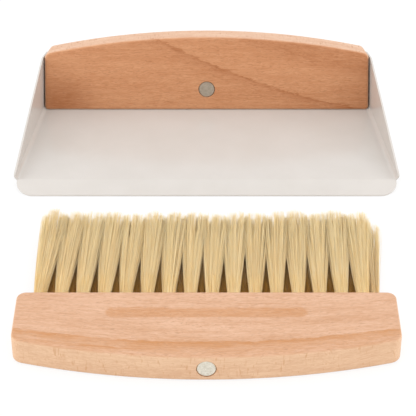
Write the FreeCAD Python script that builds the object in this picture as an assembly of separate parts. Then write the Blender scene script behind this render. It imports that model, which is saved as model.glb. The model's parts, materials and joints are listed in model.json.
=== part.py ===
import FreeCAD, Part
import math
import os

V = FreeCAD.Vector
os.makedirs("parts", exist_ok=True)

# ---------------------------------------------------------------- driving sizes (mm)
# pan
PAN_WIDTH = 280.0            # outside, across the bend where the lip starts
PAN_BACK_WIDTH = 256.2       # outside, at the foot of the handle bar
FLOOR_DEPTH = 98.3           # from the lip bend to the foot of the bar
FLOOR_SLOPE = 1.85           # degrees, the floor climbs from its back edge to the lip bend
LIP_DEPTH = 14.5             # level reach of the sloping lip
LIP_INSET = 2.0              # the lip stops this far inside each side wall
LIP_CORNER_R = 12.5
LIP_EDGE_R = 0.45
SHEET = 1.2                  # steel thickness, powder coat included
BEND_R = 3.0                 # inside radius where the walls fold up
TIP_HEIGHT = 4.4             # side wall height left at the lip bend
TIP_R = 3.0
WALL_CORNER_R = 5.0          # top back corner of each side wall
WALL_BELOW_BAR = 3.0         # the side walls end this far below the ends of the bar
FLANGE_HEIGHT = 18.0         # low wall folded up behind the bar
FLANGE_GAP = 0.1             # between the bar and that wall
FLANGE_END_GAP = 1.0         # relief between that wall and each side wall's bend
HEEL_R = 2.2                 # outside radius where that wall folds up
HEEL_LAP = 8.0               # length of floor that is made in one piece with that wall

# handle bar
BAR_T = 20.0
BAR_LEAN = 14.0              # degrees, the bar leans back
BAR_MID = 58.9               # height along the face, middle
BAR_END = 45.3               # height along the face, at the ends
BAR_TOP_CORNER_R = 5.0
BAR_FOOT_CORNER_R = 2.6
BAR_EDGE_R = 1.9
END_GAP = 0.9                # between each end of the bar and its side wall

# magnets
MAGNET_D = 12.7
MAGNET_T = 4.0
MAGNET_HEIGHT = 17.0         # along the face of the bar
MAGNET_RECESS = 0.4
MAGNET_CHAMFER = 0.6
MAGNET_PLAY = 0.05

# screws
SCREW_HEAD_D = 7.0
SCREW_HEAD_H = 2.6
SCREW_D = 3.2
SCREW_POINT = 2.5            # length of the pointed end
SCREW_POINT_R = 0.3
SCREW_PLAY = 0.05            # around the shank in the wood
PILOT_SPARE = 0.4            # pilot holes run this far past the point
SHEET_PLAY = 0.2             # around the shank in the sheet
CROSS_LENGTH = 3.4           # driver recess
CROSS_WIDTH = 0.8
CROSS_DEPTH = 1.1
SIDE_SCREW_LENGTH = 20.0
BACK_SCREW_LENGTH = 12.0
SIDE_SCREW_HEIGHT = 36.0     # along the face of the bar
SIDE_SCREW_DEPTH = 8.0       # behind the face of the bar
BACK_SCREW_HEIGHT = 10.0
BACK_SCREW_PITCH = 84.0

# brush block
BLOCK_WIDTH = 245.4
BLOCK_MID = 64.8             # depth of the block in the middle
BLOCK_DROP = 17.2            # the curved edge falls back this much at the ends
BLOCK_T = 19.0
BLOCK_CORNER_R = 8.0         # at the ends of the curved edge
BLOCK_FAR_CORNER_R = 6.0     # at the ends of the bristle edge
BLOCK_EDGE_R = 1.8
GROOVE_LENGTH = 129.0        # shallow finger groove on top
GROOVE_WIDTH = 9.5
GROOVE_DEPTH = 0.8
GROOVE_FROM_BRISTLES = 21.6  # from the bristle edge to its middle line

# bristles
TUFTS_PER_ROW = 16
TUFT_PITCH = 13.7
ROW_SPACING = 7.4            # between the two rows, through the thickness of the block
HOLE_D = 8.0
HOLE_DEPTH = 17.0
TUFT_PLAY = 0.3              # around each bundle inside its hole
BRISTLE_LENGTH = 84.0        # clear of the block
TIP_SPREAD = 3.0             # the outermost bundles lean out this much
TIP_GAP = 0.5                # between neighbouring tips in one row
TIP_LEVEL = 0.25             # share of the thickness between a face and its row of tips
TIP_CLEAR = 0.35             # above and below each row at the tips
FLARE = ((0.0, 0.0), (0.10, 0.35), (0.55, 0.75), (1.0, 1.0))  # share of length, share of flare
ANCHOR_W = 5.6
ANCHOR_H = 0.9
ANCHOR_T = 2.0
ANCHOR_GAP = 0.3             # between each anchor wire and its bundle

# layout
TIP_TO_LIP = 48.1            # space between the bristle tips and the lip, brush laid in front

# cutting tools and tolerances
SPARE = 5.0                  # how far a cutting tool runs past what it cuts
TOUCH = 1e-3                 # points nearer than this are the same
OVAL_LEAST = 0.02            # every oval is at least this much wider than high
TOOL_HALF = PAN_WIDTH        # half width of a tool that cuts right across the pan
TOOL_TOP = BAR_MID * 1.6     # height of a tool or blank that is trimmed to the bar

# ---------------------------------------------------------------- derived places
LEAN = math.radians(BAR_LEAN)
UP = V(0, math.sin(LEAN), math.cos(LEAN))       # up the face of the bar
IN = V(0, math.cos(LEAN), -math.sin(LEAN))      # through the thickness, towards the back
CLIMB = math.tan(math.radians(FLOOR_SLOPE))
ARC_MIDDLE = 1 - math.sqrt(0.5)                 # share of a corner radius, at the middle of its arc

Y_LIP = BLOCK_MID + BRISTLE_LENGTH + TIP_TO_LIP
Y_BEND = Y_LIP + LIP_DEPTH
Y_BAR = Y_BEND + FLOOR_DEPTH
FLANGE_REACH = BAR_T + FLANGE_GAP + SHEET       # from the face of the bar to the outside of the flange
HEEL_RUN = (FLANGE_REACH / UP.z - SHEET * UP.y / UP.z) / (1 + CLIMB * UP.y / UP.z)
Y_BACK = Y_BAR + HEEL_RUN
NARROWING = (PAN_WIDTH - PAN_BACK_WIDTH) / 2 / FLOOR_DEPTH


def half_width(y):
    """From the middle to the outside of a side wall."""
    return PAN_WIDTH / 2 - NARROWING * (y - Y_BEND)


def floor_under(y):
    """Height of the underside of the floor."""
    return CLIMB * (Y_BACK - y)


def floor_top(y):
    return floor_under(y) + SHEET


def meet_floor(start, lift):
    """Point on the leaning line through start, at this height above the underside of the floor."""
    slide = (floor_under(start.y) + lift - start.z) / (UP.z + CLIMB * UP.y)
    return start + UP * slide


BAR_FOOT = V(0, Y_BAR, floor_top(Y_BAR))
HEEL = meet_floor(BAR_FOOT + IN * FLANGE_REACH, 0)
PAN_MAGNET_SEAT = BAR_FOOT + UP * MAGNET_HEIGHT
BRUSH_MAGNET_SEAT = V(0, 0, BLOCK_T / 2)


# ---------------------------------------------------------------- small helpers
def prism_yz(points, half):
    """Side-view outline made this thick to both sides."""
    wire = Part.makePolygon([V(-half, p.y, p.z) for p in points + points[:1]])
    return Part.Face(wire).extrude(V(2 * half, 0, 0))


def prism_xy(points, bottom, height):
    """Outline seen from above, made this high."""
    wire = Part.makePolygon([V(p.x, p.y, bottom) for p in points + points[:1]])
    return Part.Face(wire).extrude(V(0, 0, height))


def edges_where(shape, test):
    """Edges whose ends and middle all pass the test."""
    picked = []
    for edge in shape.Edges:
        middle = edge.valueAt((edge.FirstParameter + edge.LastParameter) / 2)
        ends = [v.Point for v in edge.Vertexes]
        if ends and all(test(p) for p in ends + [middle]):
            picked.append(edge)
    return picked


def round_folds(shape, folds):
    """Rounds the edges that run straight across through each (point, radius)."""
    for corner, radius in folds:
        fold = edges_where(shape, lambda p: math.hypot(p.y - corner.y, p.z - corner.z) < TOUCH)
        shape = shape.makeFillet(radius, fold)
    return shape


def rod(start, direction, radius, length):
    return Part.makeCylinder(radius, length, start, direction)


def one_solid(shape):
    """Joins faces that are one surface, and unwraps a single solid."""
    shape = shape.removeSplitter()
    if len(shape.Solids) == 1:
        return shape.Solids[0]
    return shape


# ---------------------------------------------------------------- magnets
def magnet(face_centre, inward):
    """Disc magnet whose chamfered face is at face_centre."""
    disc = Part.makeCylinder(MAGNET_D / 2, MAGNET_T)
    rim = edges_where(disc, lambda p: abs(p.z) < TOUCH)
    disc = disc.makeChamfer(MAGNET_CHAMFER, rim)
    disc.Placement = FreeCAD.Placement(face_centre, FreeCAD.Rotation(V(0, 0, 1), inward))
    return disc


def magnet_pocket(surface, inward):
    """Cutting tool for the round pocket that a magnet sits in."""
    return rod(surface - inward * SPARE, inward, MAGNET_D / 2 + MAGNET_PLAY,
               SPARE + MAGNET_RECESS + MAGNET_T)


# ---------------------------------------------------------------- screws
def screw(seat, outward, shank_length):
    """Round-headed wood screw with a cross recess; seat is on the sheet's outer face."""
    radius = SCREW_HEAD_D / 2
    ball = (radius ** 2 + SCREW_HEAD_H ** 2) / (2 * SCREW_HEAD_H)
    dome = Part.makeSphere(ball, V(0, 0, SCREW_HEAD_H - ball))
    head = dome.common(Part.makeCylinder(radius, SCREW_HEAD_H))
    shank = Part.makeCylinder(SCREW_D / 2, shank_length, V(0, 0, -shank_length))
    point = Part.makeCone(SCREW_POINT_R, SCREW_D / 2, SCREW_POINT, V(0, 0, -shank_length - SCREW_POINT))
    body = head.fuse(shank).fuse(point)
    slot = Part.makeBox(CROSS_LENGTH, CROSS_WIDTH, SCREW_HEAD_H,
                        V(-CROSS_LENGTH / 2, -CROSS_WIDTH / 2, SCREW_HEAD_H - CROSS_DEPTH))
    body = body.cut(slot)
    slot.rotate(V(0, 0, 0), V(0, 0, 1), 90)
    body = one_solid(body.cut(slot))
    body.Placement = FreeCAD.Placement(seat, FreeCAD.Rotation(V(0, 0, 1), outward))
    return body


def side_screw_places():
    """Seat, outward direction and shank length of the screw through each side wall."""
    places = []
    for side in (-1, 1):
        spot = BAR_FOOT + UP * SIDE_SCREW_HEIGHT + IN * SIDE_SCREW_DEPTH
        outward = V(side, NARROWING, 0).normalize()
        places.append((V(side * half_width(spot.y), spot.y, spot.z), outward, SIDE_SCREW_LENGTH))
    return places


def back_screw_places():
    """The same for the screws through the low wall behind the bar."""
    spot = BAR_FOOT + UP * BACK_SCREW_HEIGHT + IN * FLANGE_REACH
    return [(V(step * BACK_SCREW_PITCH, spot.y, spot.z), IN, BACK_SCREW_LENGTH) for step in (-1, 0, 1)]


def sheet_hole(seat, outward):
    """Cutting tool for a screw hole in the sheet."""
    return rod(seat + outward * SPARE, outward * -1, SCREW_D / 2 + SHEET_PLAY, SPARE + 2 * SHEET)


def pilot_hole(seat, outward, shank_length):
    """Cutting tool for a screw hole in the wood."""
    return rod(seat, outward * -1, SCREW_D / 2 + SCREW_PLAY, shank_length + SCREW_POINT + PILOT_SPARE)


# ---------------------------------------------------------------- pan tray
def channel_wire(y, inset):
    """Outline across the pan: floor, two bends and two walls, closed far above them."""
    w = half_width(y) - inset
    z = floor_under(y) + inset
    r = BEND_R + SHEET - inset
    k = r * ARC_MIDDLE
    top = TOOL_TOP
    parts = [
        Part.LineSegment(V(-w, y, top), V(-w, y, z + r)),
        Part.Arc(V(-w, y, z + r), V(-w + k, y, z + k), V(-w + r, y, z)),
        Part.LineSegment(V(-w + r, y, z), V(w - r, y, z)),
        Part.Arc(V(w - r, y, z), V(w - k, y, z + k), V(w, y, z + r)),
        Part.LineSegment(V(w, y, z + r), V(w, y, top)),
        Part.LineSegment(V(w, y, top), V(-w, y, top)),
    ]
    return Part.Wire([p.toShape() for p in parts])


def channel(inset, front, back):
    """Solid channel that narrows towards the back."""
    return Part.makeLoft([channel_wire(front, inset), channel_wire(back, inset)], True, True)


def folded_floor():
    """Floor and both side walls, bent up from one sheet and trimmed to their side view."""
    back = Y_BACK + TOOL_TOP * UP.y
    blank = channel(0, Y_BEND, back).cut(channel(SHEET, Y_BEND - SPARE, back + SPARE))
    wall_front = BAR_FOOT + UP * (BAR_END - WALL_BELOW_BAR)
    wall_back = wall_front + IN * FLANGE_REACH
    tip = V(0, Y_BEND, floor_top(Y_BEND) + TIP_HEIGHT)
    side_view = prism_yz([V(0, Y_BEND, floor_under(Y_BEND)), HEEL, wall_back, wall_front, tip], TOOL_HALF)
    side_view = round_folds(side_view, ((HEEL, HEEL_R), (wall_back, WALL_CORNER_R), (tip, TIP_R)))
    return blank.common(side_view)


def back_flange():
    """Low wall folded up behind the bar, with the strip of floor that it folds from."""
    half = half_width(Y_BACK) - SHEET - BEND_R - FLANGE_END_GAP
    inner_foot = meet_floor(BAR_FOOT + IN * (BAR_T + FLANGE_GAP), SHEET)
    lap = Y_BACK - HEEL_LAP
    flange = prism_yz([V(0, lap, floor_under(lap)), HEEL, HEEL + UP * FLANGE_HEIGHT,
                       inner_foot + UP * FLANGE_HEIGHT, inner_foot, V(0, lap, floor_top(lap))], half)
    return round_folds(flange, ((HEEL, HEEL_R), (inner_foot, HEEL_R - SHEET)))


def front_lip():
    """Sloping lip with two round corners and a softened rim."""
    half = PAN_WIDTH / 2 - LIP_INSET
    r = LIP_CORNER_R
    k = r * ARC_MIDDLE
    low = -SPARE
    outline = Part.Wire([p.toShape() for p in (
        Part.LineSegment(V(-half, Y_BEND, low), V(-half, Y_LIP + r, low)),
        Part.Arc(V(-half, Y_LIP + r, low), V(-half + k, Y_LIP + k, low), V(-half + r, Y_LIP, low)),
        Part.LineSegment(V(-half + r, Y_LIP, low), V(half - r, Y_LIP, low)),
        Part.Arc(V(half - r, Y_LIP, low), V(half - k, Y_LIP + k, low), V(half, Y_LIP + r, low)),
        Part.LineSegment(V(half, Y_LIP + r, low), V(half, Y_BEND, low)),
        Part.LineSegment(V(half, Y_BEND, low), V(-half, Y_BEND, low)),
    )])
    slope = prism_yz([V(0, Y_LIP, 0), V(0, Y_BEND, floor_under(Y_BEND)),
                      V(0, Y_BEND, floor_top(Y_BEND)), V(0, Y_LIP, SHEET)], TOOL_HALF)
    lip = Part.Face(outline).extrude(V(0, 0, TOOL_TOP)).common(slope)
    rim = [e for e in lip.Edges if e.BoundBox.YMax < Y_BEND - TOUCH and e.Length > 2 * SHEET]
    return lip.makeFillet(LIP_EDGE_R, rim)


def pan_tray():
    """The whole folded sheet, with its screw holes."""
    tray = folded_floor().fuse(back_flange()).fuse(front_lip())
    for seat, outward, _ in side_screw_places() + back_screw_places():
        tray = tray.cut(sheet_hole(seat, outward))
    return one_solid(tray)


# ---------------------------------------------------------------- handle bar
def runs_back(edge):
    """Whether an edge runs through the thickness of the bar."""
    if len(edge.Vertexes) != 2:
        return False
    run = edge.Vertexes[-1].Point - edge.Vertexes[0].Point
    return run.Length > BAR_T / 2 and abs(run.normalize().dot(V(0, 1, 0))) > 0.9


def bar_blank():
    """Board with an arched top, its ends cut to the pan's narrowing sides."""
    face_top = BAR_FOOT + UP * TOOL_TOP
    back_foot = meet_floor(BAR_FOOT + IN * BAR_T, SHEET)
    side_view = prism_yz([BAR_FOOT, face_top, face_top + IN * BAR_T, back_foot], TOOL_HALF)
    rise = BAR_MID - BAR_END
    half = half_width(Y_BAR) - SHEET - END_GAP
    arch_r = (half ** 2 + rise ** 2) / (2 * rise)
    arch = rod(BAR_FOOT + UP * (BAR_MID - arch_r) - IN * TOOL_TOP, IN, arch_r, 3 * TOOL_TOP)
    front, back = Y_BAR - BAR_T, Y_BAR + TOOL_TOP
    corners = [V(side * (half_width(y) - SHEET - END_GAP), y, 0)
               for y, side in ((front, -1), (front, 1), (back, 1), (back, -1))]
    plan = prism_xy(corners, -SPARE, TOOL_TOP)
    return one_solid(side_view.common(arch).common(plan))


def handle_bar():
    """The bar with rounded corners and rims, its magnet pocket and its pilot holes."""
    bar = bar_blank()
    shoulder = BAR_FOOT.z + BAR_END / 2
    for radius, upper in ((BAR_TOP_CORNER_R, True), (BAR_FOOT_CORNER_R, False)):
        corners = [e for e in bar.Edges if runs_back(e) and (e.CenterOfMass.z > shoulder) == upper]
        bar = bar.makeFillet(radius, corners)
    rims = edges_where(bar, lambda p: abs((p - BAR_FOOT).dot(IN)) < TOUCH)
    rims += edges_where(bar, lambda p: abs((p - BAR_FOOT).dot(IN) - BAR_T) < TOUCH)
    bar = bar.makeFillet(BAR_EDGE_R, rims)
    bar = bar.cut(magnet_pocket(PAN_MAGNET_SEAT, IN))
    for seat, outward, length in side_screw_places() + back_screw_places():
        bar = bar.cut(pilot_hole(seat, outward, length))
    return one_solid(bar)


# ---------------------------------------------------------------- brush block
def tuft_places():
    """Name, hole centre and level of the tips, for every bundle."""
    span = (TUFTS_PER_ROW - 1) * TUFT_PITCH + TUFT_PITCH / 2
    rows = (("upper", BLOCK_T / 2 + ROW_SPACING / 2, BLOCK_T * (1 - TIP_LEVEL), -span / 2),
            ("lower", BLOCK_T / 2 - ROW_SPACING / 2, BLOCK_T * TIP_LEVEL, -span / 2 + TUFT_PITCH / 2))
    places = []
    for row, level, tip_level, start in rows:
        for i in range(TUFTS_PER_ROW):
            x = start + i * TUFT_PITCH
            tip_x = x * (1 + TIP_SPREAD / (span / 2))
            places.append(("tuft_%s_%02d" % (row, i + 1), V(x, BLOCK_MID, level),
                           V(tip_x, BLOCK_MID + BRISTLE_LENGTH, tip_level)))
    return places


def finger_groove():
    """Round-bottomed groove with round ends, cut from the top face."""
    ball = ((GROOVE_WIDTH / 2) ** 2 + GROOVE_DEPTH ** 2) / (2 * GROOVE_DEPTH)
    reach = (GROOVE_LENGTH - GROOVE_WIDTH) / 2
    level = BLOCK_T - GROOVE_DEPTH + ball
    line = BLOCK_MID - GROOVE_FROM_BRISTLES
    groove = rod(V(-reach, line, level), V(1, 0, 0), ball, 2 * reach)
    for end in (-reach, reach):
        groove = groove.fuse(Part.makeSphere(ball, V(end, line, level)))
    return groove


def brush_block():
    """The board with one curved edge, its groove, magnet pocket and bristle holes."""
    half = BLOCK_WIDTH / 2
    outline = Part.Wire([
        Part.Arc(V(-half, BLOCK_DROP, 0), V(0, 0, 0), V(half, BLOCK_DROP, 0)).toShape(),
        Part.LineSegment(V(half, BLOCK_DROP, 0), V(half, BLOCK_MID, 0)).toShape(),
        Part.LineSegment(V(half, BLOCK_MID, 0), V(-half, BLOCK_MID, 0)).toShape(),
        Part.LineSegment(V(-half, BLOCK_MID, 0), V(-half, BLOCK_DROP, 0)).toShape(),
    ])
    block = Part.Face(outline).extrude(V(0, 0, BLOCK_T))
    for y, radius in ((BLOCK_DROP, BLOCK_CORNER_R), (BLOCK_MID, BLOCK_FAR_CORNER_R)):
        corners = edges_where(block, lambda p: abs(abs(p.x) - half) < TOUCH and abs(p.y - y) < TOUCH)
        block = block.makeFillet(radius, corners)
    rims = edges_where(block, lambda p: abs(p.z) < TOUCH)
    rims += edges_where(block, lambda p: abs(p.z - BLOCK_T) < TOUCH)
    block = block.makeFillet(BLOCK_EDGE_R, rims)
    block = block.cut(magnet_pocket(BRUSH_MAGNET_SEAT, V(0, 1, 0)))
    block = block.cut(finger_groove())
    drills = [rod(hole - V(0, HOLE_DEPTH, 0), V(0, 1, 0), HOLE_D / 2, HOLE_DEPTH + SPARE)
              for _, hole, _ in tuft_places()]
    return one_solid(block.cut(Part.makeCompound(drills)))


# ---------------------------------------------------------------- bristle bundles
def oval(centre, rx, rz):
    ring = Part.Ellipse(V(0, 0, 0), max(rx, rz + OVAL_LEAST), rz).toShape()
    ring.Placement = FreeCAD.Placement(centre, FreeCAD.Rotation(V(1, 0, 0), 90))
    return Part.Wire([ring])


def bundle(hole, tip):
    """Bristles as one solid: round in the hole, a flat oval at the tips."""
    root_r = HOLE_D / 2 - TUFT_PLAY
    tip_half_x = (TUFT_PITCH - TIP_GAP) / 2
    tip_half_z = BLOCK_T * TIP_LEVEL - TIP_CLEAR
    root = hole - V(0, HOLE_DEPTH - ANCHOR_H - ANCHOR_GAP, 0)
    rings = [oval(root, root_r, root_r)]
    for along, grow in FLARE:
        rings.append(oval(hole + (tip - hole) * along, root_r + (tip_half_x - root_r) * grow,
                          root_r + (tip_half_z - root_r) * grow))
    return Part.makeLoft(rings, True, True)


def anchor_wire(hole):
    """Flat staple across the bottom of a hole, which holds the folded bristles."""
    corner = hole - V(ANCHOR_W / 2, HOLE_DEPTH, ANCHOR_T / 2)
    return Part.makeBox(ANCHOR_W, ANCHOR_H, ANCHOR_T, corner)


# ---------------------------------------------------------------- build, place and write
nodes = {
    "pan_tray": pan_tray(),
    "handle_bar": handle_bar(),
    "pan_magnet": magnet(PAN_MAGNET_SEAT + IN * MAGNET_RECESS, IN),
    "side_screws": Part.makeCompound([screw(*place) for place in side_screw_places()]),
    "back_screws": Part.makeCompound([screw(*place) for place in back_screw_places()]),
    "brush_block": brush_block(),
    "brush_magnet": magnet(BRUSH_MAGNET_SEAT + V(0, MAGNET_RECESS, 0), V(0, 1, 0)),
    "anchor_wires": Part.makeCompound([anchor_wire(hole) for _, hole, _ in tuft_places()]),
}
for name, hole, tip in tuft_places():
    nodes[name] = bundle(hole, tip)

back_end = max(nodes[name].optimalBoundingBox().YMax for name in ("pan_tray", "handle_bar", "back_screws"))
shift = V(0, -back_end / 2, 0)
for name, shape in nodes.items():
    moved = shape.copy()
    moved.translate(shift)
    moved.exportStep(os.path.join("parts", name + ".step"))
    box = moved.optimalBoundingBox()
    print("%-16s solids %d valid %s  x %.2f..%.2f  y %.2f..%.2f  z %.2f..%.2f" % (
        name, len(moved.Solids), moved.isValid(), box.XMin, box.XMax,
        box.YMin, box.YMax, box.ZMin, box.ZMax))
for label, place in (("foot of the bar", BAR_FOOT), ("pan magnet", PAN_MAGNET_SEAT),
                     ("brush magnet", BRUSH_MAGNET_SEAT)):
    print(label, place + shift)
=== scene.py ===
import json
import math

import bmesh
import bpy
import numpy as np
from mathutils import Matrix, Vector


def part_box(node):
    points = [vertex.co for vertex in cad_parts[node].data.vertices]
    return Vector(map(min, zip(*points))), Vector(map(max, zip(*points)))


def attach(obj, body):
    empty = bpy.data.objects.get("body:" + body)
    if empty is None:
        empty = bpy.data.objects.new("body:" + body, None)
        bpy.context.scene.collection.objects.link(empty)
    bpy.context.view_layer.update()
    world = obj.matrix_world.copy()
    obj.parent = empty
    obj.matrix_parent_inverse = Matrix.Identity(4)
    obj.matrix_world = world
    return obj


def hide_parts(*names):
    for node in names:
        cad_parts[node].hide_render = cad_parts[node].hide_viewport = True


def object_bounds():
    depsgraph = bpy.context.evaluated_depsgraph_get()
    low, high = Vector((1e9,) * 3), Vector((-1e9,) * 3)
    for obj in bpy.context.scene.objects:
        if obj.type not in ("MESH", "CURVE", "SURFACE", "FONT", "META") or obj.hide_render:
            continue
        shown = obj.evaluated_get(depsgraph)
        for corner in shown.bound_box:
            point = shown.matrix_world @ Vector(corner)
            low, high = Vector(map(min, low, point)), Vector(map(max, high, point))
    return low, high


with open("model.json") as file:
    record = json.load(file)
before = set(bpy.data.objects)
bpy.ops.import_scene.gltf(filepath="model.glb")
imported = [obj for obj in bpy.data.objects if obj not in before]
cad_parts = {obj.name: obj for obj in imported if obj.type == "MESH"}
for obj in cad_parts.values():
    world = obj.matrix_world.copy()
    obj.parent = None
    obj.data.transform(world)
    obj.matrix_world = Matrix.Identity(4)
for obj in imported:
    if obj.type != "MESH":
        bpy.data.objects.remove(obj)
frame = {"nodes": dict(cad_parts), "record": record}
cad_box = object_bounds()

MM = 0.001

# ---------------------------------------------------------------- bristle sizes
STRANDS_PER_BUNDLE = 750
STRAND_SIDES = 3
STRAND_STEPS = 4                     # straight runs along one strand
STRAND_RADIUS = 0.125 * MM
STRAND_THICKNESS = (0.8, 1.15)       # the strands' thickness varies between these shares of it
STRAND_TAPER = 0.72                  # share of its thickness that a strand loses by its tip
ROOT_DEPTH = 3.0 * MM                # how far the strands start down their hole
ROOT_RADIUS = 3.7 * MM               # a bundle fills its hole
ROOT_RIM = 0.30                      # share of the hole's area inside the ring the strands leave from
TIP_REACH_X = 10.2 * MM              # half the width of one bundle's tips
TIP_REACH_Z = 5.2 * MM               # half their height
FLARE_POWER = 1.03                   # above 1, a bundle widens later along its length
SWAY = 3.0 * MM                      # all the tips lie over to the right by about this much
SWAY_RANGE = (0.8, 1.2)              # between these shares of it
SWAY_POWER = 1.2                     # above 1, a strand leans over later along its length
FAN = 1.2 * MM                       # the tips of the outermost bundles lean in this much
ROW_OFFSET = 3.7 * MM                # the two rows of holes lie this far above and below the middle
LOWEST_LINE = 0.2 * MM               # no strand's centre line runs lower than this

CLUMPS = 14                          # the strands of one bundle gather towards this many tips
CLUMP_RING = 0.92                    # how far out the clumps may lie, as a share of the bundle's reach
CLUMP_PULL = 0.30                    # share of the way that a strand moves to its clump
STRAY = 0.06                         # and how far it strays from there, as a share of the reach
BOW_X = 0.30 * MM                    # how far a strand bows sideways
BOW_Z = 0.22 * MM                    # and up or down

LENGTH = 1.072                       # length of the bundles, as a share of the CAD bundle's free length
BUNDLE_UNEVEN = 0.008                # how much the bundles differ in length,
CLUMP_UNEVEN = 0.013                 # the clumps of one bundle,
STRAND_UNEVEN = 0.022                # and the strands of one clump
CROWN = 0.045                        # the tips at a bundle's two sides are shorter by this share

CORE_SIDES = 30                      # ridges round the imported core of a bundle
CORE_STEPS = 6
CORE_LENGTH = 0.86                   # its length, as a share of the bundle's
CORE_ROOT = 0.80                     # its width at the hole, as a share of the bundle's
CORE_TIP = 0.66                      # and near the tips
CORE_RIDGES = (0.88, 1.0)            # the ridges' height varies between these shares of that width
CORE_BLUNTNESS = 6                   # the higher, the blunter its rounded end,
CORE_END = 1.03                      # which keeps a small flat end where this is above 1

# painted shade: the feet of the bundles darken to brown on the side that faces the other row, in its shade
PAINTED_SHADE_MIDDLE = 0.20                  # share of painted shade halfway between the bundle's two faces
PAINTED_SHADE_RISE = 1.1                     # and how much it rises towards the other row
PAINTED_SHADE_END = 0.92                     # share of the length by which the painted shade is gone
PAINTED_SHADE_FADE = 0.72                    # and the share over which it fades
END_BUNDLE_PAINTED_SHADE = 0.25              # the end bundles stand clear, and take this share of it

FIRST_SEED = 100

# ---------------------------------------------------------------- places on the two boards
# x runs along a board and u up from its magnet.
# The bar's rings are the lines u = BOW * (x - CROWN) ** 2 - SLOPE * x - ring.
BAR_RING_CROWN = 40.0 * MM
BAR_RING_BOW = 1.1
BAR_RING_SLOPE = 0.36
BAR_LOWER_RING = -20.3 * MM
BAR_UPPER_RING = -49.0 * MM
# The block's rings are the lines u = BOW * x ** 2 - ring.
BLOCK_RING_BOW = 0.90
BLOCK_RING = -14.5 * MM
BLOCK_INNER_RING = -6.8 * MM
BLOCK_BOW = 17.2 * MM                # the middle of the block's curved edge stands this far past its ends
GROOVE_HALF = 59.8 * MM              # from the middle of the block to the centre of a round groove end
GROOVE_UP = 43.2 * MM                # from the magnet up to the groove's middle line
GROOVE_INNER = 3.6 * MM              # the groove's painted warm bounce light fades out between these two half widths
GROOVE_OUTER = 5.6 * MM

# ---------------------------------------------------------------- colours, as linear values
# the bar's beech is darker and redder than the block's: partly its own tone, partly painted shade on the
# bar's face
BAR_WOOD_AND_SHADE = {"light": (0.646, 0.317, 0.160), "deep": (0.524, 0.220, 0.095),
            "ember": (0.377, 0.130, 0.043), "edge": (0.779, 0.533, 0.377)}
BLOCK_WOOD = {"light": (0.705, 0.439, 0.294), "deep": (0.574, 0.312, 0.176),
              "ember": (0.533, 0.238, 0.086), "edge": (0.790, 0.535, 0.345)}
COAT = (0.625, 0.588, 0.552)
COAT_MOTTLE = (0.607, 0.569, 0.531)
COAT_SPECK = (0.62, 0.56, 0.50)
SCREW_STEEL = ((0.410, 0.390, 0.370), (0.330, 0.310, 0.295))
# the two magnets are one satin nickel: the pan's tone is painted shade warmed by a painted reflection of the
# floor, the brush's is painted light
SHADED_NICKEL = ((0.500, 0.430, 0.350), (0.410, 0.350, 0.280))
LIT_NICKEL = ((0.850, 0.805, 0.700), (0.640, 0.600, 0.500))
STRAW_ROOT = (1.0, 0.830, 0.480)
STRAW_TIP = (1.0, 0.900, 0.600)
STRAW_DARK = (0.960, 0.700, 0.320)
STRAW_PALE = (1.0, 0.93, 0.72)
STRAW_SHEEN = (1.0, 0.86, 0.58, 1.0)
LET_THROUGH = 0.30                   # share of the light that passes through a strand
# painted shade on the bundles' feet, between the two rows
STRAW_PAINTED_SHADE = (0.600, 0.290, 0.030)
PAPER = (0.86, 0.85, 0.84, 1.0)
WHITE = (1.0, 1.0, 1.0, 1.0)

# ---------------------------------------------------------------- lamps, camera and floor
# name, place, width in metres, power in watts
LAMPS = (("top_softbox", (0.0, 0.20, 1.5), 1.6, 4.0),
         ("front_fill", (-0.4, -1.6, 1.1), 1.2, 2.5),
         ("left_fill", (-1.4, -0.1, 0.45), 0.9, 5.5),
         ("right_fill", (1.4, -0.1, 0.45), 0.9, 5.5))
LAMP_AIM = (0.0, 0.03, 0.02)         # all the lamps point here
ROOM_LIGHT = 0.99                    # strength of the white room on the set; the camera sees plain white
CAMERA_ELEVATION = math.radians(36.0)
CAMERA_DISTANCE = 1.1436
CAMERA_AIM = (0.0010, 0.0114, 0.0)
CAMERA_LENS = 138.46
FLOOR_HALF = 4.0
FLOOR_GAP = 0.02 * MM                # the floor lies this far below the set
FLOOR_GLOW = 1.04                    # what the camera and reflections see of it: a white this strong,
FLOOR_GLOW_SHARE = 0.76              # mixed in by this share


# ---------------------------------------------------------------- material helpers
def new_material(name):
    """A node material, its tree and its main shader."""
    material = bpy.data.materials.new(name)
    material.use_nodes = True
    tree = material.node_tree
    return material, tree, tree.nodes["Principled BSDF"]


def add(tree, kind, sockets=None, **settings):
    """One node, with its settings, its plain values and its wires."""
    made = tree.nodes.new("ShaderNode" + kind)
    for key, value in settings.items():
        setattr(made, key, value)
    for key, value in (sockets or {}).items():
        if isinstance(value, bpy.types.NodeSocket):
            tree.links.new(value, made.inputs[key])
        else:
            made.inputs[key].default_value = value
    return made


def math_node(tree, operation, first, second=0.0):
    """The result of one sum."""
    return add(tree, "Math", {0: first, 1: second}, operation=operation).outputs[0]


def dot(tree, vector, direction):
    """How far a vector reaches along a direction."""
    made = add(tree, "VectorMath", {0: vector, 1: tuple(direction)}, operation="DOT_PRODUCT")
    return made.outputs["Value"]


def square(tree, value):
    return math_node(tree, "MULTIPLY", value, value)


def scaled(tree, value, factor, shift=0.0):
    return math_node(tree, "ADD", math_node(tree, "MULTIPLY", value, factor), shift)


def distance(tree, first, second):
    """The length of the slope over two sides."""
    return math_node(tree, "SQRT", math_node(tree, "ADD", square(tree, first), square(tree, second)))


def total(tree, parts):
    """Sum of (value, share)."""
    result = 0.0
    for value, share in parts:
        result = math_node(tree, "ADD", math_node(tree, "MULTIPLY", value, share), result)
    return result


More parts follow.
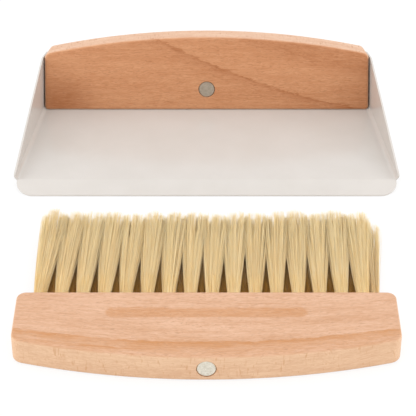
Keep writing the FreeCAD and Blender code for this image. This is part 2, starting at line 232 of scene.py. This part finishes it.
def remap(tree, value, low, high, to_low=0.0, to_high=1.0):
    """low becomes to_low and high becomes to_high, with nothing past either."""
    made = add(tree, "MapRange", {"Value": value, "From Min": low, "From Max": high,
                                  "To Min": to_low, "To Max": to_high})
    return made.outputs[0]


def blend_colour(tree, amount, first, second):
    """The first colour at amount 0 and the second at 1. The node's colours are its inputs 6 and 7."""
    made = add(tree, "Mix", data_type="RGBA")
    for index, value in ((0, amount), (6, first), (7, second)):
        if isinstance(value, bpy.types.NodeSocket):
            tree.links.new(value, made.inputs[index])
        elif index:
            made.inputs[index].default_value = (*value, 1.0)
        else:
            made.inputs[index].default_value = value
    return made.outputs[2]


def stretched_noise(tree, coords, along, across, through, detail=3.0, rough=0.55, bend=0.0):
    """Noise whose features are this long along, across and through the piece, in mm."""
    scale = tuple(1.0 / (size * MM) for size in (along, across, through))
    stretched = add(tree, "Mapping", {"Vector": coords, "Scale": scale})
    noise = add(tree, "TexNoise", {"Vector": stretched.outputs[0], "Scale": 1.0, "Detail": detail,
                                   "Roughness": rough, "Distortion": bend})
    return noise.outputs["Fac"]


def even_noise(tree, coords, size, detail, rough=0.55):
    """Noise whose features are this size every way, in mm."""
    return stretched_noise(tree, coords, size, size, size, detail, rough)


def bump(tree, shader, height, strength, depth):
    """Raises a surface by its height, to this depth in metres."""
    made = add(tree, "Bump", {"Height": height, "Strength": strength, "Distance": depth})
    tree.links.new(made.outputs[0], shader.inputs["Normal"])


# ---------------------------------------------------------------- beech
def mount(name):
    """Where one of the record's mounts lies, and which way it faces."""
    found = next(m for m in frame["record"]["mounts"] if m["name"] == name)
    return Vector(found["pos_m"]), Vector(found["axis"])


def board_place(tree, place, origin, up, through):
    """Where a point lies on its board: along the grain, up from the magnet, and through the thickness."""
    offset = add(tree, "VectorMath", {0: place.outputs["Object"], 1: tuple(origin)},
                 operation="SUBTRACT").outputs[0]
    x = add(tree, "SeparateXYZ", {"Vector": offset}).outputs["X"]
    return x, dot(tree, offset, up), dot(tree, offset, through)


def fibre_coords(tree, x, u, w, arch):
    """Coordinates that follow the fibres, which wander a little, and bend round a curved edge.

    arch is how far that edge's middle stands past its ends, half its length, and the board's depth.
    """
    if arch:
        drop, half, depth = arch
        bend = math_node(tree, "MULTIPLY", scaled(tree, square(tree, x), drop / half ** 2),
                         scaled(tree, u, -1 / depth, 1.0))
        u = math_node(tree, "SUBTRACT", u, bend)
    straight = add(tree, "CombineXYZ", {"X": x, "Y": u, "Z": w}).outputs[0]
    wander = stretched_noise(tree, straight, 55, 16, 16, detail=2.0)
    ripple = stretched_noise(tree, straight, 7, 3, 3, detail=1.0)
    drift = math_node(tree, "ADD", scaled(tree, wander, 9.0 * MM, -4.5 * MM),
                      scaled(tree, ripple, 1.6 * MM, -0.8 * MM))
    shift = add(tree, "CombineXYZ", {"Y": drift, "Z": drift}).outputs[0]
    return add(tree, "VectorMath", {0: straight, 1: shift}, operation="ADD").outputs[0]


def growth_ring(tree, value, ring, fade):
    """1 just past the edge of a ring and fading away from it, 0 before it, in metres."""
    past = math_node(tree, "SUBTRACT", value, ring)
    on = remap(tree, past, -0.35 * MM, 0.35 * MM)
    faded = math_node(tree, "DIVIDE", math_node(tree, "MAXIMUM", past, 0.0), -fade)
    return math_node(tree, "MULTIPLY", on, math_node(tree, "EXPONENT", faded))


def soft_patch(tree, x, u, centre, reach):
    """1 in the middle of an oval patch, 0 outside it."""
    dx = scaled(tree, x, 1 / reach[0], -centre[0] / reach[0])
    du = scaled(tree, u, 1 / reach[1], -centre[1] / reach[1])
    return remap(tree, distance(tree, dx, du), 1.0, 0.15)


def beech(name, origin, up, through, wood, marks, contrast, edge_share, arch=None):
    """Sanded and oiled beech, its grain along X. marks(tree, x, u) gives a board's rings and patches,
    painted shade and light among them.
    """
    material, tree, shader = new_material(name)
    place = add(tree, "TexCoord")
    x, u, w = board_place(tree, place, origin, up, through)
    grain = fibre_coords(tree, x, u, w, arch)

    # the plain wood: fine streaks and fibres over slow bands and clouds
    cloud = stretched_noise(tree, grain, 60, 11, 14, detail=3.0)
    bands = stretched_noise(tree, grain, 120, 3.4, 5, detail=2.0)
    streaks = stretched_noise(tree, grain, 12, 0.70, 0.9, detail=3.0, rough=0.65)
    fibres = stretched_noise(tree, grain, 6, 0.34, 0.4, detail=2.0, rough=0.6)
    tone = total(tree, ((remap(tree, streaks, 0.36, 0.66), 0.38), (remap(tree, bands, 0.36, 0.64), 0.18),
                        (remap(tree, cloud, 0.36, 0.64), 0.16), (remap(tree, fibres, 0.36, 0.66), 0.28)))
    tone = remap(tree, tone, 0.5 - 0.5 / contrast, 0.5 + 0.5 / contrast)
    colour = blend_colour(tree, tone, wood["light"], wood["deep"])

    # the board's rings and its patches of painted shade and light have ragged edges and a redder tone
    ragged = stretched_noise(tree, grain, 12, 1.1, 1.1, detail=3.0, rough=0.6)
    jag = scaled(tree, ragged, 7.0 * MM, -3.5 * MM)
    glow = math_node(tree, "MINIMUM", marks(tree, x, math_node(tree, "ADD", u, jag)), 1.0)
    glow = math_node(tree, "MULTIPLY", glow, remap(tree, streaks, 0.25, 0.6, 0.62, 1.0))
    colour = blend_colour(tree, glow, colour, wood["ember"])

    # short dark pores along the grain
    dashes = stretched_noise(tree, grain, 3.4, 0.40, 0.45, detail=0.0)
    pore = tuple(c * 0.66 for c in wood["deep"])
    colour = blend_colour(tree, remap(tree, dashes, 0.61, 0.71, to_high=0.38), colour, pore)

    # the long edges are paler, partly for their edge grain and partly as painted light on the bar's top band
    # and the block's front edge; with short upright ray flecks
    facing = dot(tree, place.outputs["Normal"], through)
    edge = remap(tree, math_node(tree, "ABSOLUTE", facing), 0.92, 0.40)
    pale_edge_and_light = blend_colour(tree, math_node(tree, "MULTIPLY", tone, 0.5), wood["edge"], wood["deep"])
    colour = blend_colour(tree, math_node(tree, "MULTIPLY", edge, edge_share), colour, pale_edge_and_light)
    upright = add(tree, "CombineXYZ", {"X": x, "Y": u, "Z": w}).outputs[0]
    rays = stretched_noise(tree, upright, 1.3, 6.0, 6.0, detail=1.0, bend=0.6)
    ray = math_node(tree, "MULTIPLY", remap(tree, rays, 0.62, 0.74, to_high=0.42), edge)
    colour = blend_colour(tree, ray, colour, wood["ember"])
    tree.links.new(colour, shader.inputs["Base Color"])

    tree.links.new(remap(tree, streaks, 0.3, 0.7, 0.48, 0.62), shader.inputs["Roughness"])
    height = math_node(tree, "SUBTRACT", math_node(tree, "MULTIPLY", fibres, -0.6), streaks)
    bump(tree, shader, height, strength=0.22, depth=0.12 * MM)
    shader.inputs["Specular IOR Level"].default_value = 0.3
    return material


def bar_marks(tree, x, u):
    """Two ring lines that sweep down to the right, and a darker patch low at each end, painted shade in the
    corners by the walls and floor.
    """
    bow = scaled(tree, square(tree, scaled(tree, x, 1.0, -BAR_RING_CROWN)), BAR_RING_BOW)
    slope = math_node(tree, "MULTIPLY", x, BAR_RING_SLOPE)
    across = math_node(tree, "SUBTRACT", bow, math_node(tree, "ADD", u, slope))
    lower = growth_ring(tree, across, BAR_LOWER_RING, fade=12 * MM)
    lower_line = growth_ring(tree, across, BAR_LOWER_RING, fade=1.8 * MM)
    upper = growth_ring(tree, across, BAR_UPPER_RING, fade=10 * MM)
    upper_line = growth_ring(tree, across, BAR_UPPER_RING, fade=2.2 * MM)
    outside = remap(tree, across, BAR_UPPER_RING, BAR_UPPER_RING - 1 * MM)
    ringwise = add(tree, "CombineXYZ", {"X": x, "Y": across}).outputs[0]
    lines = remap(tree, stretched_noise(tree, ringwise, 18, 0.9, 9, detail=2.0), 0.50, 0.66)
    inner_lines = math_node(tree, "MULTIPLY", lines, lower)
    outer_lines = math_node(tree, "MULTIPLY", lines, outside)
    # painted shade: a darker patch low at each end, in the corners by the walls and floor
    left_corner_shade = soft_patch(tree, x, u, centre=(-113 * MM, -10 * MM), reach=(34 * MM, 24 * MM))
    right_corner_shade = soft_patch(tree, x, u, centre=(122 * MM, -12 * MM), reach=(26 * MM, 26 * MM))
    return total(tree, ((lower, 0.30), (lower_line, 0.48), (inner_lines, 0.45),
                        (upper, 0.10), (upper_line, 0.30), (outside, 0.33), (outer_lines, 0.42),
                        (left_corner_shade, 0.85), (right_corner_shade, 0.40)))


def block_marks(tree, x, u):
    """A wide ring along the curved edge, and redder wood where the finger groove is cut, painted as warm
    light bounced inside the groove.
    """
    inward = math_node(tree, "SUBTRACT", scaled(tree, square(tree, x), BLOCK_RING_BOW), u)
    ringwise = add(tree, "CombineXYZ", {"X": x, "Y": inward}).outputs[0]
    uneven = remap(tree, stretched_noise(tree, ringwise, 34, 5, 9, detail=2.0), 0.36, 0.62, 0.35, 1.0)
    ring = math_node(tree, "MULTIPLY", growth_ring(tree, inward, BLOCK_RING, fade=16 * MM), uneven)
    line = growth_ring(tree, inward, BLOCK_RING, fade=3.0 * MM)
    inner_line = growth_ring(tree, inward, BLOCK_INNER_RING, fade=1.4 * MM)
    left_half = soft_patch(tree, x, u, centre=(-66 * MM, 12 * MM), reach=(62 * MM, 14 * MM))
    fringe = math_node(tree, "MULTIPLY", inner_line, left_half)
    # painted warm bounce light: redder wood inside the finger groove
    past_end = scaled(tree, math_node(tree, "ABSOLUTE", x), 1.0, -GROOVE_HALF)
    from_groove = distance(tree, math_node(tree, "MAXIMUM", past_end, 0.0), scaled(tree, u, 1.0, -GROOVE_UP))
    groove_bounce_light = remap(tree, from_groove, GROOVE_OUTER, GROOVE_INNER)
    heart = soft_patch(tree, x, u, centre=(-18 * MM, 12.5 * MM), reach=(55 * MM, 6.5 * MM))
    return total(tree, ((ring, 0.66), (line, 0.40), (groove_bounce_light, 0.60), (heart, 0.40), (fringe, 0.95)))


# ---------------------------------------------------------------- coat, metals and bristle
def powder_coat():
    """Warm white powder coat: a soft gloss, faint orange peel and the faintest mottling."""
    material, tree, shader = new_material("warm_white_powder_coat")
    coords = add(tree, "TexCoord").outputs["Object"]
    peel = even_noise(tree, coords, 0.9, detail=2.0)
    grit = even_noise(tree, coords, 0.25, detail=1.0)
    mottle = even_noise(tree, coords, 26, detail=3.0)
    colour = blend_colour(tree, remap(tree, mottle, 0.35, 0.65), COAT, COAT_MOTTLE)
    colour = blend_colour(tree, remap(tree, grit, 0.70, 0.78, to_high=0.25), colour, COAT_SPECK)
    tree.links.new(colour, shader.inputs["Base Color"])
    tree.links.new(remap(tree, peel, 0.3, 0.7, 0.12, 0.19), shader.inputs["Roughness"])
    height = math_node(tree, "ADD", peel, math_node(tree, "MULTIPLY", grit, 0.3))
    bump(tree, shader, height, strength=0.22, depth=0.06 * MM)
    return material


def satin_metal(name, tones, rough):
    """Plated or bare metal with fine scratches and a little tarnish."""
    material, tree, shader = new_material(name)
    coords = add(tree, "TexCoord").outputs["Object"]
    haze = even_noise(tree, coords, 1.8, detail=4.0, rough=0.65)
    scratch = stretched_noise(tree, coords, 4.0, 0.12, 0.12, detail=2.0)
    tree.links.new(blend_colour(tree, remap(tree, haze, 0.35, 0.65), *tones), shader.inputs["Base Color"])
    tree.links.new(remap(tree, scratch, 0.3, 0.7, rough - 0.06, rough + 0.08), shader.inputs["Roughness"])
    bump(tree, shader, scratch, strength=0.15, depth=0.03 * MM)
    shader.inputs["Metallic"].default_value = 1.0
    return material


def natural_bristle():
    """Pale straw bristle that lets some light through. Each strand has its own shade, and the bundles' feet
    take painted shade where the rows shade each other.
    """
    material, tree, shader = new_material("natural_bristle")
    along = add(tree, "Attribute", attribute_name="along").outputs["Fac"]
    shade = add(tree, "Attribute", attribute_name="shade").outputs["Fac"]
    # depth carries the painted shade on the bundles' feet
    depth = add(tree, "Attribute", attribute_name="depth").outputs["Fac"]
    coords = add(tree, "TexCoord").outputs["Object"]
    mottle = stretched_noise(tree, coords, 1.2, 12.0, 1.2, detail=2.0)
    colour = blend_colour(tree, along, STRAW_ROOT, STRAW_TIP)
    colour = blend_colour(tree, scaled(tree, shade, 0.30), colour, STRAW_DARK)
    colour = blend_colour(tree, remap(tree, mottle, 0.45, 0.75, to_high=0.35), colour, STRAW_PALE)
    # painted shade: the feet darken to brown on the side that faces the other row
    colour = blend_colour(tree, depth, colour, STRAW_PAINTED_SHADE)
    tree.links.new(colour, shader.inputs["Base Color"])
    tree.links.new(remap(tree, mottle, 0.3, 0.7, 0.42, 0.60), shader.inputs["Roughness"])
    shader.inputs["Specular IOR Level"].default_value = 0.3
    shader.inputs["Sheen Weight"].default_value = 0.8
    shader.inputs["Sheen Roughness"].default_value = 0.4
    shader.inputs["Sheen Tint"].default_value = STRAW_SHEEN
    through = add(tree, "BsdfTranslucent", {"Color": colour})
    mixed = add(tree, "MixShader", {"Fac": LET_THROUGH, 1: shader.outputs[0], 2: through.outputs[0]})
    tree.links.new(mixed.outputs[0], tree.nodes["Material Output"].inputs["Surface"])
    return material


def dress(node, material):
    """Gives a CAD node its finish."""
    mesh = frame["nodes"][node].data
    mesh.materials.clear()
    mesh.materials.append(material)


# ---------------------------------------------------------------- bristles
def rod(name, sides, steps):
    """A closed rod from y 0 to y 1, of radius 1."""
    bm = bmesh.new()
    bmesh.ops.create_cone(bm, cap_ends=True, segments=sides, radius1=1, radius2=1, depth=1)
    bmesh.ops.rotate(bm, verts=bm.verts, cent=(0, 0, 0), matrix=Matrix.Rotation(-math.pi / 2, 3, "X"))
    bmesh.ops.translate(bm, verts=bm.verts, vec=(0, 0.5, 0))
    lengthwise = [e for e in bm.edges if abs(e.verts[0].co.y - e.verts[1].co.y) > 0.5]
    bmesh.ops.subdivide_edges(bm, edges=lengthwise, cuts=steps - 1)
    bmesh.ops.recalc_face_normals(bm, faces=bm.faces)
    mesh = bpy.data.meshes.new(name)
    bm.to_mesh(mesh)
    bm.free()
    return mesh


def straight_bundle(strand, core):
    """All the strands of a bundle, one on another, and then its core."""
    bm = bmesh.new()
    for _ in range(STRANDS_PER_BUNDLE):
        bm.from_mesh(strand)
    bm.from_mesh(core)
    mesh = bpy.data.meshes.new("bundle")
    bm.to_mesh(mesh)
    bm.free()
    return mesh


def scatter(rng, count):
    """Where each strand leaves its hole and where its tip lies, in a circle of radius 1, and its clump."""
    turn = rng.random(count) * 2 * np.pi
    share = rng.random(count)
    facing = np.stack([np.cos(turn), np.sin(turn)], axis=1)
    start = facing * np.sqrt(ROOT_RIM + (1 - ROOT_RIM) * share)[:, None]
    end = facing * np.sqrt(share)[:, None]
    clump_turn = rng.random(CLUMPS) * 2 * np.pi
    clump_ring = CLUMP_RING * np.sqrt(rng.random(CLUMPS))
    centres = np.stack([clump_ring * np.cos(clump_turn), clump_ring * np.sin(clump_turn)], axis=1)
    clump = ((end[:, None] - centres[None]) ** 2).sum(2).argmin(1)
    end = end + CLUMP_PULL * (centres[clump] - end) + rng.normal(0, STRAY, (count, 2))
    return start, end, clump


def centre_line(root, tip, t, sway):
    """x and z of a bundle's centre line, from t 0 at the hole to t 1 at the tips."""
    return root.x + (tip.x - root.x) * t + sway * t ** SWAY_POWER, root.z + (tip.z - root.z) * t


def lay_strands(rng, raw, root, tip, start, end, clump):
    """The strands' points, on their bowed lines from the hole's rim to their gathered and uneven tips."""
    count = len(raw)
    t = raw[:, :, 1]
    x, z = centre_line(root, tip, t, SWAY * rng.uniform(*SWAY_RANGE, (count, 1)))
    bow = np.sin(np.pi * t)
    x = x + bow * rng.normal(0, BOW_X, (count, 1))
    z = z + bow * rng.normal(0, BOW_Z, (count, 1))
    flare = t ** FLARE_POWER
    x = x + ROOT_RADIUS * start[:, :1] * (1 - flare) + TIP_REACH_X * end[:, :1] * flare
    z = z + ROOT_RADIUS * start[:, 1:] * (1 - flare) + TIP_REACH_Z * end[:, 1:] * flare

    clump_extra = rng.normal(0, CLUMP_UNEVEN, CLUMPS)[clump][:, None]
    bundle_share = LENGTH + rng.normal(0, BUNDLE_UNEVEN)
    strand_lack = np.abs(rng.normal(0, STRAND_UNEVEN, (count, 1)))
    length = (tip.y - root.y) * (bundle_share - CROWN * end[:, :1] ** 2 + clump_extra - strand_lack)
    y = root.y - ROOT_DEPTH + (length + ROOT_DEPTH) * t

    radius = STRAND_RADIUS * (1.0 - STRAND_TAPER * t ** 3) * rng.uniform(*STRAND_THICKNESS, (count, 1))
    spin = rng.random((count, 1)) * 2 * np.pi
    side_x = raw[:, :, 0] * np.cos(spin) - raw[:, :, 2] * np.sin(spin)
    side_z = raw[:, :, 0] * np.sin(spin) + raw[:, :, 2] * np.cos(spin)
    return np.stack([x + side_x * radius, y, np.maximum(z, LOWEST_LINE) + side_z * radius], axis=2)


def lay_core(ridges, raw, root, tip):
    """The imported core's points: it widens with the strands, and rounds off before their tips."""
    t = raw[:, 1]
    width = ridges * np.sqrt(CORE_END - t ** CORE_BLUNTNESS)
    x, z = centre_line(root, tip, t * CORE_LENGTH, SWAY)
    flare = (t * CORE_LENGTH) ** FLARE_POWER
    x = x + width * raw[:, 0] * (CORE_ROOT * ROOT_RADIUS * (1 - flare) + CORE_TIP * TIP_REACH_X * flare)
    z = z + width * raw[:, 2] * (CORE_ROOT * ROOT_RADIUS * (1 - flare) + CORE_TIP * TIP_REACH_Z * flare)
    y = root.y - ROOT_DEPTH + ((tip.y - root.y) * CORE_LENGTH + ROOT_DEPTH) * t
    return np.stack([x, y, np.maximum(z, LOWEST_LINE)], axis=1)


def painted_shade_share(outward, t, shaded):
    """How much painted shade a point takes: most on the side that faces the other row, and fading out
    towards the tips.
    """
    faces_other = np.clip(PAINTED_SHADE_MIDDLE - PAINTED_SHADE_RISE * outward, 0, 1)
    return shaded * faces_other * np.clip((PAINTED_SHADE_END - t) / PAINTED_SHADE_FADE, 0, 1)


def comb(mesh, per_strand, seed, root, tip, row_side, shaded):
    """Combs a straight bundle, and puts what colours it in its attributes along, shade and depth; depth
    holds the painted shade.
    """
    rng = np.random.default_rng(seed)
    flat = np.empty(len(mesh.vertices) * 3)
    mesh.vertices.foreach_get("co", flat)
    points = flat.reshape(-1, 3)
    in_strands = STRANDS_PER_BUNDLE * per_strand
    raw = points[:in_strands].reshape(STRANDS_PER_BUNDLE, per_strand, 3)
    core = points[in_strands:]
    side = np.rint(np.arctan2(core[:, 2], core[:, 0]) / (2 * np.pi) * CORE_SIDES).astype(int) % CORE_SIDES

    start, end, clump = scatter(rng, STRANDS_PER_BUNDLE)
    laid = lay_strands(rng, raw, root, tip, start, end, clump)
    packed = lay_core(rng.uniform(*CORE_RIDGES, CORE_SIDES)[side], core, root, tip)
    mesh.vertices.foreach_set("co", np.concatenate([laid.reshape(-1), packed.reshape(-1)]))

    t, core_t = raw[:, :, 1], core[:, 1]
    shade = 0.6 * rng.random(STRANDS_PER_BUNDLE) + 0.4 * rng.random(CLUMPS)[clump]
    core_shade = rng.uniform(0.3, 0.9, CORE_SIDES)[side]
    values = {"along": (t, core_t * CORE_LENGTH),
              "shade": (np.repeat(shade[:, None], per_strand, 1), core_shade),
              "depth": (painted_shade_share(start[:, 1:] * row_side, t, shaded),
                        painted_shade_share(core[:, 2] * row_side, core_t, shaded))}
    for name, (of_strands, of_core) in values.items():
        layer = mesh.attributes.new(name, "FLOAT", "POINT")
        both = np.concatenate([of_strands.reshape(-1), of_core])
        layer.data.foreach_set("value", both.astype(np.float32))
    mesh.update()


def bristles(material):
    """Every CAD bundle gets its own spray of strands."""
    strand = rod("strand", STRAND_SIDES, STRAND_STEPS)
    bundle = straight_bundle(strand, rod("core", CORE_SIDES, CORE_STEPS))
    block_low, block_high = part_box("brush_block")
    middle_height = (block_low[2] + block_high[2]) / 2
    names = sorted(n for n in frame["nodes"] if n.startswith("tuft_"))
    widest = max(abs(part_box(n)[0][0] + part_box(n)[1][0]) / 2 for n in names)
    for order, name in enumerate(names):
        low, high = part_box(name)
        tip_x = (low[0] + high[0]) / 2
        row_side = math.copysign(1.0, low[2] + high[2] - 2 * middle_height)
        root = Vector((tip_x, block_high[1], middle_height + row_side * ROW_OFFSET))
        tip = Vector((tip_x * (1 - FAN / widest), high[1], (low[2] + high[2]) / 2))
        # the end bundles stand clear of the other row, and take less painted shade
        shaded = END_BUNDLE_PAINTED_SHADE if abs(tip_x) > widest - 1 * MM else 1.0
        mesh = bundle.copy()
        mesh.name = name.replace("tuft", "bristles")
        comb(mesh, len(strand.vertices), FIRST_SEED + order, root, tip, row_side, shaded)
        mesh.materials.append(material)
        piece = bpy.data.objects.new(mesh.name, mesh)
        bpy.context.scene.collection.objects.link(piece)
        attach(piece, "brush")
        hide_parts(name)


# ---------------------------------------------------------------- floor, light and camera
def pale_floor():
    """Plain paper that takes the set's shadow, and that the camera and reflections see as nearly white."""
    bm = bmesh.new()
    bmesh.ops.create_grid(bm, x_segments=1, y_segments=1, size=FLOOR_HALF)
    bmesh.ops.translate(bm, verts=bm.verts, vec=(0, 0, cad_box[0][2] - FLOOR_GAP))
    mesh = bpy.data.meshes.new("floor")
    bm.to_mesh(mesh)
    bm.free()
    floor = bpy.data.objects.new("floor", mesh)
    bpy.context.scene.collection.objects.link(floor)
    material, tree, shader = new_material("studio_floor")
    tree.nodes.remove(shader)
    seen = add(tree, "LightPath")
    white = math_node(tree, "MAXIMUM", seen.outputs["Is Camera Ray"], seen.outputs["Is Glossy Ray"])
    white = math_node(tree, "MAXIMUM", white, seen.outputs["Is Transmission Ray"])
    paper = add(tree, "BsdfDiffuse", {"Color": PAPER})
    glow = add(tree, "Emission", {"Color": WHITE, "Strength": FLOOR_GLOW})
    share = math_node(tree, "MULTIPLY", white, FLOOR_GLOW_SHARE)
    mixed = add(tree, "MixShader", {"Fac": share, 1: paper.outputs[0], 2: glow.outputs[0]})
    tree.links.new(mixed.outputs[0], tree.nodes["Material Output"].inputs["Surface"])
    mesh.materials.append(material)


def soft_light():
    """An even white room, a soft light overhead and three round the set."""
    world = bpy.data.worlds.new("studio")
    bpy.context.scene.world = world
    world.use_nodes = True
    tree = world.node_tree
    seen = add(tree, "LightPath")
    strength = remap(tree, seen.outputs["Is Camera Ray"], 0.0, 1.0, ROOM_LIGHT, 1.0)
    room = tree.nodes["Background"]
    room.inputs["Color"].default_value = WHITE
    tree.links.new(strength, room.inputs["Strength"])
    for name, place, size, power in LAMPS:
        lamp = bpy.data.lights.new(name, "AREA")
        lamp.shape = "SQUARE"
        lamp.size = size
        lamp.energy = power
        holder = bpy.data.objects.new(name, lamp)
        holder.location = place
        holder.rotation_euler = (Vector(LAMP_AIM) - Vector(place)).to_track_quat("-Z", "Y").to_euler()
        bpy.context.scene.collection.objects.link(holder)


def camera():
    """Looks down at the set from in front, with the brush nearest."""
    lens = bpy.data.cameras.new("camera")
    lens.lens = CAMERA_LENS
    lens.sensor_width = 36.0
    lens.clip_start = 0.05
    lens.clip_end = 20.0
    holder = bpy.data.objects.new("camera", lens)
    back = Vector((0.0, -math.cos(CAMERA_ELEVATION), math.sin(CAMERA_ELEVATION)))
    holder.location = Vector(CAMERA_AIM) + CAMERA_DISTANCE * back
    holder.rotation_euler = (math.pi / 2 - CAMERA_ELEVATION, 0.0, 0.0)
    bpy.context.scene.collection.objects.link(holder)
    bpy.context.scene.camera = holder


# ---------------------------------------------------------------- the set
bar_magnet, bar_out = mount("pan_dock")
dress("handle_bar", beech("bar_beech", bar_magnet, (0.0, bar_out.z, -bar_out.y), -bar_out,
                          BAR_WOOD_AND_SHADE, bar_marks, contrast=1.55, edge_share=0.95))
block_magnet, block_out = mount("brush_dock")
block_low, block_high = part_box("brush_block")
block_arch = (BLOCK_BOW, (block_high[0] - block_low[0]) / 2, block_high[1] - block_low[1])
dress("brush_block", beech("block_beech", block_magnet, -block_out, (0.0, 0.0, 1.0),
                           BLOCK_WOOD, block_marks, contrast=1.9, edge_share=0.92, arch=block_arch))
dress("pan_tray", powder_coat())
# the pan's magnet in painted shade, the brush's in painted light
dress("pan_magnet", satin_metal("satin_nickel_painted_shade", SHADED_NICKEL, rough=0.42))
dress("brush_magnet", satin_metal("satin_nickel_painted_light", LIT_NICKEL, rough=0.36))
steel = satin_metal("screw_steel", SCREW_STEEL, rough=0.36)
for node in ("side_screws", "back_screws", "anchor_wires"):
    dress(node, steel)
bristles(natural_bristle())

pale_floor()
soft_light()
camera()
bpy.context.scene.view_settings.view_transform = "Standard"
